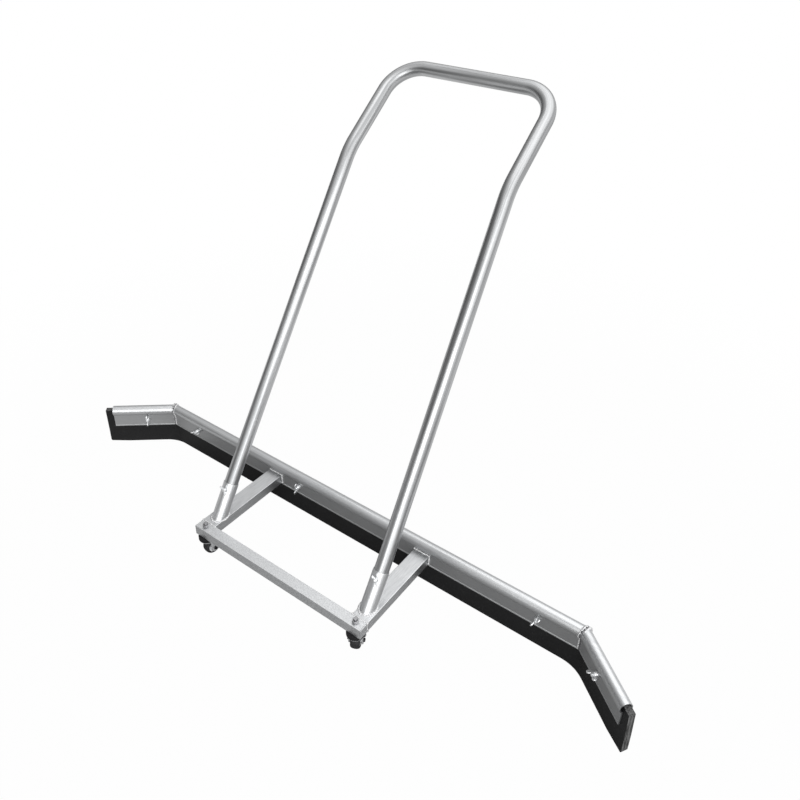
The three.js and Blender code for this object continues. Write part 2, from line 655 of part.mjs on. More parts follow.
// One castor about its stem; its wheel trails and its pedal points along the local +x
function addCastor(name, side, heading) {
  const castor = new THREE.Group();
  castor.position.set(side * castorX, castorY, 0);
  castor.rotation.z = heading;
  part.add(castor);

  const cupTop = frameBottom - seatGap;
  const cupBottom = cupTop - cupHeight;
  const crownTop = cupBottom - seatGap;
  const crownBottom = crownTop - crownThickness;
  const wheelX = castorTrail;
  const cheekInner = wheelWidth / 2 + wheelSideGap;
  const cheekOuter = cheekInner + cheekThickness;
  const cheekBackX = wheelX + cheekEndRadius;
  const stemBore = stemRadius + seatGap;

  const stemHead = crownBottom - seatGap - stemHeadHeight;
  const stemTop = frameTop + seatGap + stemNutHeight + stemEndLength;
  const stem = turned([
    [0, stemHead], [stemHeadRadius, stemHead], [stemHeadRadius, stemHead + stemHeadHeight],
    [stemRadius, stemHead + stemHeadHeight], [stemRadius, stemTop], [0, stemTop],
  ], boltSides);
  addPiece(castor, `castor_stem_${name}`, stem, 'zinc');
  const nut = rodAlongZ(stemNutRadius, frameTop + seatGap, frameTop + seatGap + stemNutHeight, 6);
  const nutBore = rodAlongZ(stemBore, frameTop, stemTop + cutOverrun);
  addPiece(castor, `castor_nut_${name}`, nut.subtract(nutBore), 'zinc');

  const grooveLow = cupBottom + (cupHeight - cupGrooveHeight) / 2;
  const cup = turned([
    [stemBore, cupBottom], [cupRadius - cupRound, cupBottom], [cupRadius, cupBottom + cupRound],
    [cupRadius, grooveLow], [cupRadius - cupRound, grooveLow + cupGrooveHeight / 2],
    [cupRadius, grooveLow + cupGrooveHeight], [cupRadius, cupTop - cupRound],
    [cupRadius - cupRound, cupTop], [stemBore, cupTop], [stemBore, cupBottom],
  ]);
  addPiece(castor, `castor_cup_${name}`, cup, 'black');

  const acrossY = (radius, x, z) => rodAlongY(radius, x, z, -cupRadius - cutOverrun, cupRadius + cutOverrun);
  const cheek = shapeOf([
    [cheekFrontX, crownTop],
    ...arcPoints(wheelX, wheelRadius, cheekEndRadius, Math.PI, 2 * Math.PI, 8),
    [cheekBackX, pedalPivotZ],
    [crownRadius, crownBottom],
    [crownRadius, crownTop],
  ]);
  const block = toSolid(alongY(cheek, 2 * cheekOuter)).translate([0, -cheekOuter, 0]);
  const well = toSolid(alongZ(rectangle(2 * (cupRadius + cutOverrun), 2 * cheekInner), crownBottom + cutOverrun));
  const fork = block.subtract(well.translate([0, 0, -cutOverrun]))
    .add(rodAlongZ(crownRadius, crownBottom, crownTop, turnedSides))
    .subtract(rodAlongZ(stemBore, crownBottom - cutOverrun, crownTop + cutOverrun))
    .subtract(acrossY(axleRadius + seatGap, wheelX, wheelRadius))
    .subtract(acrossY(pedalPinRadius + seatGap, pedalPivotX, pedalPivotZ));
  addPiece(castor, `castor_fork_${name}`, fork, 'zinc');

  const axleHalf = cheekOuter + seatGap;
  const axleEnd = axleHalf + axleHeadHeight;
  const axleTipRadius = (axleRadius + axleHeadRadius) / 2;
  const axle = turned([
    [0, -axleEnd], [axleTipRadius, -axleEnd], [axleHeadRadius, -axleHalf],
    [axleRadius, -axleHalf], [axleRadius, axleHalf],
    [axleHeadRadius, axleHalf], [axleTipRadius, axleEnd], [0, axleEnd],
  ], boltSides);
  const aboutY = new THREE.Matrix4().makeRotationX(Math.PI / 2);
  const onAxle = (solid) => solid.transform(aboutY.elements).translate([wheelX, 0, wheelRadius]);
  addPiece(castor, `castor_axle_${name}`, onAxle(axle), 'black');

  const tyreInner = wheelRadius - tyreDepth;
  const halfWidth = wheelWidth / 2;
  const shoulderRadius = wheelRadius - tyreRound / 4;
  const tyre = turned([
    [tyreInner, -halfWidth], [wheelRadius - tyreRound, -halfWidth],
    [shoulderRadius, -halfWidth + tyreRound], [wheelRadius, 0],
    [shoulderRadius, halfWidth - tyreRound], [wheelRadius - tyreRound, halfWidth],
    [tyreInner, halfWidth], [tyreInner, -halfWidth],
  ]);
  addPiece(castor, `castor_tyre_${name}`, onAxle(tyre), 'black');

  const hubOuter = tyreInner - seatGap;
  const hubBore = axleRadius + seatGap;
  const hubBoss = axleHeadRadius + hubFaceSink;
  const hubFace = halfWidth - hubFaceSink;
  const hubEnd = cheekInner - seatGap;
  const hub = turned([
    [hubBore, -hubEnd], [hubBoss, -hubEnd], [hubBoss, -hubFace + hubFaceSink],
    [hubOuter, -hubFace], [hubOuter, hubFace], [hubBoss, hubFace - hubFaceSink],
    [hubBoss, hubEnd], [hubBore, hubEnd], [hubBore, -hubEnd],
  ]);
  addPiece(castor, `castor_hub_${name}`, onAxle(hub), 'hub');

  // The pedal: a plate behind the crown, an arm outside each cheek and a shoe over the tread
  const armInner = cheekOuter + seatGap;
  const armOuter = armInner + pedalWall;
  const plateTop = crownTop - seatGap;
  const plateBottom = plateTop - pedalPlateThickness;
  const plateStart = crownRadius + 2 * seatGap;
  const tipX = pedalReach - pedalPlateThickness / 2;
  const plate = shapeOf([
    [plateStart, plateTop],
    [plateStart, plateBottom],
    ...arcPoints(tipX, plateBottom + pedalPlateThickness / 2, pedalPlateThickness / 2, -Math.PI / 2, Math.PI / 2, 4),
  ]);
  const arm = shapeOf([
    ...arcPoints(pedalPivotX, pedalPivotZ, pedalArmRadius, Math.PI, 2 * Math.PI, 6),
    [pedalReach - pedalTipRound, plateBottom],
    [pedalReach - pedalTipRound, plateTop],
    [plateStart, plateTop],
  ]);
  const shoe = shapeOf([
    ...arcPoints(wheelX, wheelRadius, wheelRadius + brakeGap, shoeBackAngle, shoeFrontAngle, shoeSteps),
    [wheelX + (wheelRadius + brakeGap) * Math.cos(shoeFrontAngle), plateTop],
    [wheelX + (wheelRadius + brakeGap) * Math.cos(shoeBackAngle), plateTop],
  ]);
  const across = (outline, from, to) => toSolid(alongY(outline, to - from)).translate([0, from, 0]);
  const pedal = across(plate, -armOuter, armOuter)
    .add(across(arm, armInner, armOuter))
    .add(across(arm, -armOuter, -armInner))
    .add(across(shoe, -halfWidth + tyreRound, halfWidth - tyreRound))
    .subtract(acrossY(pedalPinRadius + seatGap, pedalPivotX, pedalPivotZ));
  addPiece(castor, `castor_pedal_${name}`, pedal, 'black');

  const rivetEnd = armOuter + seatGap;
  const rivet = turned([
    [0, cheekInner], [pedalPinRadius, cheekInner], [pedalPinRadius, rivetEnd],
    [2 * pedalPinRadius, rivetEnd], [pedalPinRadius, rivetEnd + pedalPinHeadHeight],
    [0, rivetEnd + pedalPinHeadHeight],
  ], boltSides);
  const onPivot = (solid) => solid.transform(aboutY.elements).translate([pedalPivotX, 0, pedalPivotZ]);
  addPiece(castor, `castor_rivet_1_${name}`, onPivot(rivet), 'zinc');
  addPiece(castor, `castor_rivet_2_${name}`, onPivot(rivet.mirror([0, 0, 1])), 'zinc');
}

addBeam();
addBlade();
addFrame();
addSockets();
addBladeFasteners();
addHandle();
addCastor('left', -1, leftCastorHeading);
addCastor('right', 1, rightCastorHeading);

// The origin is the floor point under the middle of the whole piece
part.updateMatrixWorld(true);
const bounds = new THREE.Box3().setFromObject(part, true);
part.position.y = -(bounds.min.y + bounds.max.y) / 2;
part.updateMatrixWorld(true);

export default part;
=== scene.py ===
import json
import math

import bmesh
import bpy
from mathutils import Matrix, Vector


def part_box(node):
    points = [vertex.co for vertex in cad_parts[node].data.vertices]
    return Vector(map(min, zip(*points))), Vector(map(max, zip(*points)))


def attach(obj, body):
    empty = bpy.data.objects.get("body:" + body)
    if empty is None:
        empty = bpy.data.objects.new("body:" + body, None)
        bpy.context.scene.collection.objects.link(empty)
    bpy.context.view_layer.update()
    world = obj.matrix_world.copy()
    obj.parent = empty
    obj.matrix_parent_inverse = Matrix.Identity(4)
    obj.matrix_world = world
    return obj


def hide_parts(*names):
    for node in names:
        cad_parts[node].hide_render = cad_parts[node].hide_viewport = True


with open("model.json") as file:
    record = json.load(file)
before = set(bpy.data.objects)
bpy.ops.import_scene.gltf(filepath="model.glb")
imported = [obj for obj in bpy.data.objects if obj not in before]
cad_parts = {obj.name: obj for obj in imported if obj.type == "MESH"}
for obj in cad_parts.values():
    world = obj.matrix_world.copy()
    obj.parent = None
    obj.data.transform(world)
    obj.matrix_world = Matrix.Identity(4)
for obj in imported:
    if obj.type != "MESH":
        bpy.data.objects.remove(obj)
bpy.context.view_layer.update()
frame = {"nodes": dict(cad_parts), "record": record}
joints = {joint["name"]: joint for joint in frame["record"]["behaviour"]["joints"]}
print("frame loaded:", len(frame["nodes"]), "nodes")

# Lengths below are in millimetres from the middle of the flange's front face, at floor level
mm = 0.001
barFront = 249
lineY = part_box("cross_bar")[0].y + barFront * mm
sides = ((-1, "left"), (1, "right"))


def at(x, y, z):
    return Vector((x * mm, y * mm + lineY, z * mm))


# Nodes: an input is given by name or number, as a value or as another node's output

def feed(tree, socket, value):
    if isinstance(value, bpy.types.NodeSocket):
        tree.links.new(value, socket)
    elif socket.type == "RGBA":
        socket.default_value = (*value, 1)
    else:
        socket.default_value = value


def node(tree, kind, inputs=None, **settings):
    made = tree.nodes.new(kind)
    for key, value in settings.items():
        setattr(made, key, value)
    for key, value in (inputs or {}).items():
        feed(tree, made.inputs[key], value)
    return made


def math2(tree, operation, first, second, clamp=False):
    inputs = {0: first, 1: second}
    return node(tree, "ShaderNodeMath", inputs, operation=operation, use_clamp=clamp).outputs[0]


def steepen(tree, value, start, slope):
    return math2(tree, "MULTIPLY", math2(tree, "SUBTRACT", value, start), slope, clamp=True)


def mixColour(tree, share, first, second):
    inputs = {0: share, 6: first, 7: second}
    return node(tree, "ShaderNodeMix", inputs, data_type="RGBA").outputs[2]


def blend(tree, share, first, second):
    return node(tree, "ShaderNodeMix", {0: share, 2: first, 3: second}).outputs[0]


def mapRange(tree, value, given, wanted, interpolation="LINEAR"):
    names = ("Value", "From Min", "From Max", "To Min", "To Max")
    made = node(tree, "ShaderNodeMapRange", dict(zip(names, (value, *given, *wanted))),
                interpolation_type=interpolation)
    return made.outputs["Result"]


def mirrorRays(tree, rays):
    # 1 for a ray off metal or through glass
    return math2(tree, "ADD", rays["Is Glossy Ray"], rays["Is Transmission Ray"], clamp=True)


def startTree(kind, name, inputs, outputs):
    tree = bpy.data.node_groups.new(name, kind + "NodeTree")
    for label, socketKind, value in inputs:
        socket = tree.interface.new_socket(label, in_out="INPUT", socket_type="NodeSocket" + socketKind)
        if value is not None:
            socket.default_value = value
    for label, socketKind in outputs:
        tree.interface.new_socket(label, in_out="OUTPUT", socket_type="NodeSocket" + socketKind)
    return tree, node(tree, "NodeGroupInput").outputs, node(tree, "NodeGroupOutput").inputs


# Finishes
texture = dict(grainDetail=3, mottleScale=14, mottleDetail=4, mottleShare=0.35,
               patchDetail=6, patchRoughness=0.72, patchStart=0.56, patchSlope=9.0,
               scuffScale=55.0, scuffAmount=0.35, scuffRough=0.12, bumpDepth=0.0004,
               rubberFiner=4, rubberBump=0.25)


def makeGrainGroup():
    # fine drawn grain, noise stretched along the piece, and a broad mottle
    tree, given, result = startTree(
        "Shader", "drawnGrain",
        [("Vector", "Vector", None), ("Stretch", "Vector", (1, 1, 1)), ("Scale", "Float", 60.0)],
        [("Grain", "Float"), ("Mottle", "Float")])
    stretched = node(tree, "ShaderNodeVectorMath", {0: given["Vector"], 1: given["Stretch"]},
                     operation="MULTIPLY")
    fine = node(tree, "ShaderNodeTexNoise", {
        "Vector": stretched.outputs[0], "Scale": given["Scale"], "Detail": texture["grainDetail"]})
    broad = node(tree, "ShaderNodeTexNoise", {
        "Vector": given["Vector"], "Scale": texture["mottleScale"], "Detail": texture["mottleDetail"]})
    feed(tree, result["Grain"], fine.outputs[0])
    feed(tree, result["Mottle"], broad.outputs[0])
    return tree


def makeScuffGroup():
    # scuffs and dust: a mask of small broken patches
    tree, given, result = startTree(
        "Shader", "handlingScuffs",
        [("Vector", "Vector", None), ("Scale", "Float", 40.0), ("Amount", "Float", 0.3)],
        [("Mask", "Float")])
    patches = node(tree, "ShaderNodeTexNoise", {
        "Vector": given["Vector"], "Scale": given["Scale"], "Detail": texture["patchDetail"],
        "Roughness": texture["patchRoughness"]})
    wide = steepen(tree, patches.outputs[0], texture["patchStart"], texture["patchSlope"])
    feed(tree, result["Mask"], math2(tree, "MULTIPLY", wide, given["Amount"]))
    return tree


grainGroup = makeGrainGroup()
scuffGroup = makeScuffGroup()


def useGroup(tree, group, **inputs):
    return node(tree, "ShaderNodeGroup", inputs, node_tree=group).outputs


def startMaterial(name, metallic):
    material = bpy.data.materials.new(name)
    material.use_nodes = True
    tree = material.node_tree
    shader = tree.nodes["Principled BSDF"].inputs
    shader["Metallic"].default_value = metallic
    return material, tree, shader, node(tree, "ShaderNodeTexCoord").outputs["Object"]


def addBump(tree, shader, height, strength):
    bump = node(tree, "ShaderNodeBump", {
        "Height": height, "Strength": strength, "Distance": texture["bumpDepth"]})
    feed(tree, shader["Normal"], bump.outputs[0])


metals = {
    # the beam's flange colour is painted shade, laid over the flat flange, the back wall and the hood's lower
    # half
    "beam": dict(slot="beam_aluminium", light=(0.73, 0.74, 0.75), dark=(0.56, 0.57, 0.58),
                 roughness=(0.30, 0.40), stretch=(0.12, 6, 6), bump=0.004, contrast=2.2,
                 flange=(0.38, 0.385, 0.39), flangeRough=0.13, paintedShadeFade=(0.090, 0.109)),
    "frame": dict(slot="frame_aluminium", light=(0.82, 0.83, 0.84), dark=(0.58, 0.59, 0.60),
                  roughness=(0.38, 0.48), stretch=(7, 7, 7), bump=0.06, contrast=3.5),
    "arm": dict(slot="frame_aluminium", light=(0.77, 0.78, 0.79), dark=(0.58, 0.59, 0.60),
                roughness=(0.34, 0.44), stretch=(5, 0.5, 5), bump=0.02, contrast=2.0),
    "tube": dict(slot="handle_aluminium", light=(0.64, 0.648, 0.656), dark=(0.3, 0.305, 0.31),
                 roughness=(0.3, 0.38), stretch=(2.2, 2.2, 0.04), bump=0.01, contrast=4.0, alongTube=True),
    "sleeve": dict(slot="frame_aluminium", light=(0.86, 0.87, 0.88), dark=(0.64, 0.65, 0.66),
                   roughness=(0.34, 0.42), stretch=(8, 8, 0.3), bump=0.01, contrast=1.8, alongTube=True),
    "weld": dict(slot="frame_aluminium", light=(0.88, 0.88, 0.88), dark=(0.5, 0.5, 0.51),
                 roughness=(0.3, 0.45), stretch=(8, 8, 8), bump=0.1, contrast=1.5),
    # painted shade: dark beads that stand for the shade in the gap between the two weld bead rows
    "paintedWeldShade": dict(slot="frame_aluminium", light=(0.22, 0.22, 0.23), dark=(0.1, 0.1, 0.105),
                      roughness=(0.4, 0.6), stretch=(8, 8, 8), bump=0.1, contrast=1.5),
    "zinc": dict(slot="zinc_steel", light=(0.96, 0.97, 0.98), dark=(0.86, 0.87, 0.88),
                 roughness=(0.36, 0.48), stretch=(4, 4, 4), bump=0.05, contrast=1.5),
    "dullZinc": dict(slot="zinc_steel", light=(0.5, 0.5, 0.51), dark=(0.28, 0.28, 0.29),
                     roughness=(0.3, 0.45), stretch=(4, 4, 4), bump=0.05, contrast=1.5),
    "blackSteel": dict(slot="black_steel", light=(0.035, 0.035, 0.037), dark=(0.02, 0.02, 0.022),
                       roughness=(0.35, 0.5), stretch=(4, 4, 4), bump=0.1, contrast=1.0),
}


def makeMetal(name, look):
    material, tree, shader, place = startMaterial(name, 1.0)
    if "alongTube" in look:
        place = node(tree, "ShaderNodeAttribute", attribute_name="tubePlace").outputs["Vector"]
    grain = useGroup(tree, grainGroup, Vector=place, Stretch=look["stretch"])
    scuffs = useGroup(tree, scuffGroup, Vector=place, Scale=texture["scuffScale"],
                      Amount=texture["scuffAmount"])
    steep = math2(tree, "MULTIPLY", math2(tree, "SUBTRACT", grain["Grain"], 0.5), look["contrast"])
    even = mixColour(tree, math2(tree, "ADD", steep, 0.5, clamp=True), look["dark"], look["light"])
    mottled = math2(tree, "MULTIPLY", grain["Mottle"], texture["mottleShare"])
    colour = mixColour(tree, mottled, even, look["dark"])
    rough = mapRange(tree, grain["Mottle"], (0, 1), look["roughness"])
    if "flange" in look:
        # painted shade: the flat flange and back wall, and the hood's lower half as the shade fades in, are
        # mixed towards a darker colour than the hood's top; they are also duller (rougher)
        height = node(tree, "ShaderNodeSeparateXYZ", {0: place}).outputs["Z"]
        below = mapRange(tree, height, look["paintedShadeFade"], (1, 0))
        colour = mixColour(tree, below, colour, look["flange"])
        rough = math2(tree, "ADD", rough, math2(tree, "MULTIPLY", below, look["flangeRough"]))
    scuffed = math2(tree, "MULTIPLY", scuffs["Mask"], texture["scuffRough"])
    feed(tree, shader["Base Color"], colour)
    feed(tree, shader["Roughness"], math2(tree, "ADD", rough, scuffed))
    addBump(tree, shader, grain["Grain"], look["bump"])
    return material


rubbers = {
    "bladeRubber": dict(slot="blade_rubber", dark=(0.004, 0.004, 0.0043), light=(0.01, 0.01, 0.0105),
                        roughness=(0.52, 0.66), scale=90.0, dust=(0.06, 0.06, 0.06), amount=0.1,
                        specular=0.24, cut=((0.025, 0.025, 0.025), (0.17, 0.17, 0.17)),
                        cutStretch=(1, 1, 0.06), cutScale=330.0, cutStart=0.36, cutSlope=3.4),
    "tyreRubber": dict(slot="tyre_rubber", dark=(0.01, 0.01, 0.011), light=(0.03, 0.03, 0.031),
                       roughness=(0.5, 0.7), scale=140.0, dust=(0.12, 0.12, 0.12), amount=0.15,
                       specular=0.3),
    "blackNylon": dict(slot="black_nylon", dark=(0.005, 0.005, 0.006), light=(0.012, 0.012, 0.013),
                       roughness=(0.35, 0.5), scale=200.0, dust=(0.04, 0.04, 0.04), amount=0.08,
                       specular=0.25),
    "hubPlastic": dict(slot="grey_plastic", dark=(0.72, 0.73, 0.74), light=(0.84, 0.85, 0.86),
                       roughness=(0.35, 0.5), scale=120.0, dust=(0.3, 0.3, 0.3), amount=0.15,
                       specular=0.5),
}


def makeRubber(name, look):
    material, tree, shader, place = startMaterial(name, 0.0)
    shader["Specular IOR Level"].default_value = look["specular"]
    grain = useGroup(tree, grainGroup, Vector=place, Scale=look["scale"] * texture["rubberFiner"])
    dust = useGroup(tree, scuffGroup, Vector=place, Scale=look["scale"], Amount=look["amount"])
    even = mixColour(tree, grain["Mottle"], look["dark"], look["light"])
    colour = mixColour(tree, dust["Mask"], even, look["dust"])
    if "cut" in look:
        # sawn ends: grey, in bands that run up the face
        marked = node(tree, "ShaderNodeAttribute", attribute_name="cutShare").outputs["Fac"]
        bands = useGroup(tree, grainGroup, Vector=place, Stretch=look["cutStretch"], Scale=look["cutScale"])
        steep = steepen(tree, bands["Grain"], look["cutStart"], look["cutSlope"])
        colour = mixColour(tree, marked, colour, mixColour(tree, steep, *look["cut"]))
    feed(tree, shader["Base Color"], colour)
    feed(tree, shader["Roughness"], mapRange(tree, grain["Mottle"], (0, 1), look["roughness"]))
    addBump(tree, shader, grain["Grain"], texture["rubberBump"])
    return material


looks = {name: makeMetal(name, look) for name, look in metals.items()}
looks.update({name: makeRubber(name, look) for name, look in rubbers.items()})
print("materials made:", len(looks))


# Meshes; the angles are in degrees
edges = dict(segments=3, angle=28, merge=1e-6, flat=1, sharp=34, weight=80)


def camel(words):
    first, *others = words.split("_")
    return first + "".join(other.title() for other in others)


def addObject(name, data):
    made = bpy.data.objects.new(name, data)
    bpy.context.scene.collection.objects.link(made)
    return made


def meshObject(name, points, faces, lines=()):
    mesh = bpy.data.meshes.new(name)
    mesh.from_pydata([tuple(point) for point in points], list(lines), faces)
    return addObject(name, mesh)


def addModifier(piece, kind, **settings):
    made = piece.modifiers.new(kind.title(), kind)
    for key, value in settings.items():
        setattr(made, key, value)
    return made


def settle(piece):
    # leaves a plain mesh, with the modifiers applied
    bpy.context.view_layer.update()
    graph = bpy.context.evaluated_depsgraph_get()
    mesh = bpy.data.meshes.new_from_object(piece.evaluated_get(graph))
    old = piece.data
    piece.modifiers.clear()
    piece.data = mesh
    bpy.data.meshes.remove(old)
    return piece


def shadeSoftly(piece, sharpAngle):
    shape = bmesh.new()
    shape.from_mesh(piece.data)
    bmesh.ops.recalc_face_normals(shape, faces=shape.faces)
    for face in shape.faces:
        face.smooth = True
    for edge in shape.edges:
        if len(edge.link_faces) == 2:
            edge.smooth = edge.calc_face_angle(0) < math.radians(sharpAngle)
    shape.to_mesh(piece.data)
    shape.free()


def finishPiece(piece, look, body, replaced, sharpAngle=edges["sharp"]):
    shadeSoftly(piece, sharpAngle)
    # large faces keep their own direction, so that narrow roundings stay narrow
    addModifier(piece, "WEIGHTED_NORMAL", keep_sharp=True, weight=edges["weight"])
    settle(piece)
    piece.data.materials.clear()
    piece.data.materials.append(looks[look])
    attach(piece, body)
    if replaced:
        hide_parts(*replaced)


def softenNode(source, width, look, body="frame", name=None):
    # the CAD solid with merged corners and rounded edges
    shape = bmesh.new()
    shape.from_mesh(frame["nodes"][source].data)
    bmesh.ops.remove_doubles(shape, verts=shape.verts, dist=edges["merge"])
    bmesh.ops.dissolve_limit(shape, angle_limit=math.radians(edges["flat"]), verts=shape.verts,
                             edges=shape.edges)
    piece = meshObject(camel(name or source), [], [])
    shape.to_mesh(piece.data)
    shape.free()
    addModifier(piece, "BEVEL", width=width * mm, segments=edges["segments"], limit_method="ANGLE",
                angle_limit=math.radians(edges["angle"]))
    finishPiece(settle(piece), look, body, [source])


def joinMeshes(target, pieces):
    shape = bmesh.new()
    shape.from_mesh(target)
    for piece in pieces:
        shape.from_mesh(piece.data)
        bpy.data.objects.remove(piece)
    shape.to_mesh(target)
    shape.free()


def stepsTo(first, last, count):
    return [first + (last - first) * step / count for step in range(1, count + 1)]


def fullTurn(steps):
    return [2 * math.pi * step / steps for step in range(steps)]


def bandFaces(low, high):
    # a closed band of faces between two rings of vertex numbers
    count = len(low)
    return [(low[i], low[(i + 1) % count], high[(i + 1) % count], high[i]) for i in range(count)]


def mirrored(upper, middle=0):
    # a whole profile from its upper half, which starts at the top
    return [(radius, 2 * middle - height) for radius, height in upper if height != middle] + upper[::-1]


def roundedOutline(corners, steps):
    outline = []
    count = len(corners)
    for index, (u, v, radius) in enumerate(corners):
        here = Vector((u, v))
        if radius == 0:
            outline.append(here)
            continue
        before = (Vector(corners[index - 1][:2]) - here).normalized()
        after = (Vector(corners[(index + 1) % count][:2]) - here).normalized()
        half = before.angle(after) / 2
        reach = radius / math.tan(half)
        centre = here + (before + after).normalized() * (radius / math.sin(half))
        first, last = here + before * reach - centre, here + after * reach - centre
        turn = first.angle_signed(last)
        for step in range(steps + 1):
            outline.append(centre + Matrix.Rotation(-turn * step / steps, 2) @ first)
    return outline


def prismBetween(name, outline, startAt, endAt):
    # a prism from an outline, each corner placed by the two functions
    count = len(outline)
    points = [startAt(u, v) for u, v in outline] + [endAt(u, v) for u, v in outline]
    start, end = range(count), range(count, 2 * count)
    return meshObject(name, points, bandFaces(start, end) + [tuple(start)[::-1], tuple(end)])


def markTube(piece, places):
    # each vertex's place on the straightened tube, for the grain that runs along it
    marks = piece.data.attributes.new("tubePlace", "FLOAT_VECTOR", "POINT")
    for mark, (radius, angle, along) in zip(marks.data, places):
        mark.vector = (radius * math.cos(angle), radius * math.sin(angle), along)


def sweptTube(name, path, outer, inner, steps):
    # a tube along points, with a steady roll and closed annular ends
    points, places, tangents = [], [], []
    for index in range(len(path)):
        ahead = path[min(index + 1, len(path) - 1)]
        behind = path[max(index - 1, 0)]
        tangents.append((ahead - behind).normalized())
    across = tangents[0].orthogonal().normalized()
    along, last = 0, path[0]
    for place, tangent in zip(path, tangents):
        along += (place - last).length
        last = place
        across = (across - tangent * across.dot(tangent)).normalized()
        up = tangent.cross(across)
        for radius in (outer, inner):
            for angle in fullTurn(steps):
                points.append(place + (across * math.cos(angle) + up * math.sin(angle)) * radius)
                places.append((radius, angle, along))
    rings = [range(start, start + steps) for start in range(0, len(points), steps)]
    skins, bores = rings[::2], rings[1::2]
    faces = bandFaces(bores[0], skins[0]) + bandFaces(skins[-1], bores[-1])
    for index in range(len(path) - 1):
        faces += bandFaces(skins[index], skins[index + 1]) + bandFaces(bores[index + 1], bores[index])
    piece = meshObject(name, points, faces)
    markTube(piece, places)
    return piece


def turnedPiece(name, profile, place, steps):
    # a turned piece about the local z from (radius, height) pairs in millimetres
    points, faces, rings = [], [], []
    for radius, height in profile:
        if radius == 0:
            rings.append([len(points)] * steps)
            points.append(place @ Vector((0, 0, height * mm)))
            continue
        rings.append(range(len(points), len(points) + steps))
        for angle in fullTurn(steps):
            spot = (radius * mm * math.cos(angle), radius * mm * math.sin(angle), height * mm)
            points.append(place @ Vector(spot))
    if profile[0][0] > 0 and profile[-1][0] > 0:
        rings.append(rings[0])
    for low, high in zip(rings, rings[1:]):
        corners = [tuple(dict.fromkeys(face)) for face in bandFaces(low, high)]
        faces += [face for face in corners if len(face) > 2]
    return meshObject(name, points, faces)


# Beam
beam = dict(halfLength=600, wingLength=163, rake=math.radians(40), wall=2.5, width=20.6,
            hoodOuter=13.3, hoodInner=11.3, hoodY=7.3, hoodZ=98, bottom=52, lip=1.1, lipHeight=2.6,
            gap=0.3, hoodSteps=44, edgeRound=0.45, edgeSteps=4, sharpAngle=24)
hoodFront = math.pi + math.acos(beam["hoodY"] / beam["hoodOuter"])
mitreSlope = math.tan(beam["rake"] / 2)


def hoodArc(radius, first, last):
    return [(beam["hoodY"] + radius * math.cos(angle), beam["hoodZ"] + radius * math.sin(angle), 0)
            for angle in [first] + stepsTo(first, last, beam["hoodSteps"])]


def beamOutline():
    # section in (y, z): lipped flange, round hood flush with the back wall, and the slot inside
    low, rounding, lip = beam["bottom"], beam["edgeRound"], beam["lip"]
    back = beam["width"] - beam["wall"]
    innerFront = math.pi + math.acos((beam["hoodY"] - beam["wall"]) / beam["hoodInner"])
    innerBack = -math.acos((back - beam["hoodY"]) / beam["hoodInner"])
    return roundedOutline([
        (beam["wall"], low, rounding), (-lip, low, rounding), (-lip, low + beam["lipHeight"], rounding),
        (0, low + beam["lipHeight"] + lip, 0), *hoodArc(beam["hoodOuter"], hoodFront, 0),
        (beam["width"], low, rounding), (back, low, rounding),
        *hoodArc(beam["hoodInner"], innerBack, innerFront)], beam["edgeSteps"])


def onWing(side, along, y, z):
    # a point on a wing, from the mitre outwards, y across the section
    rake = beam["rake"]
    x = beam["halfLength"] + along * math.cos(rake) + y * math.sin(rake)
    return at(side * x, y * math.cos(rake) - along * math.sin(rake), z)


def makeBeam():
    outline = beamOutline()
    cut = beam["gap"] / 2 / math.cos(beam["rake"] / 2)

    def centreEnd(side):
        return lambda y, z: at(side * (beam["halfLength"] + y * mitreSlope - cut), y, z)

    centre = prismBetween("beamCentre", outline, centreEnd(-1), centreEnd(1))
    finishPiece(centre, "beam", "frame", ["beam_centre"], beam["sharpAngle"])
    for side, word in sides:
        wing = prismBetween("beamWing" + word.title(), outline,
                            lambda y, z: onWing(side, cut - y * mitreSlope, y, z),
                            lambda y, z: onWing(side, beam["wingLength"], y, z))
        finishPiece(wing, "beam", "frame", ["beam_wing_" + word], beam["sharpAngle"])


makeBeam()
print("beam made")

# Rubber blade; its ends have rounded corners and two shallow grooves between the layers
blade = dict(thickness=15, leftOverhang=20.6, rightOverhang=16.2, foldRadius=8, sweepRadius=95,
             endRound=6, edge=1.2, edgeShare=0.35, edgeCut=0.9, slant=7.5, skew=0.17, lean=4.5,
             endLean=1.5, leanFade=45, leanPower=1.5, top=101, topRound=0.8, topCut=0.5, open=50.4,
             foldSteps=20, endRows=4, rows=26, endStrip=2, grooveDepth=0.5, sharpAngle=40,
             stations=(-1, -0.9, -0.36, -0.3, -0.24, 0.24, 0.3, 0.36, 0.9, 1),
             sinks=(0.7, 0, 0, 1, 0, 0, 1, 0, 0, 0.7))


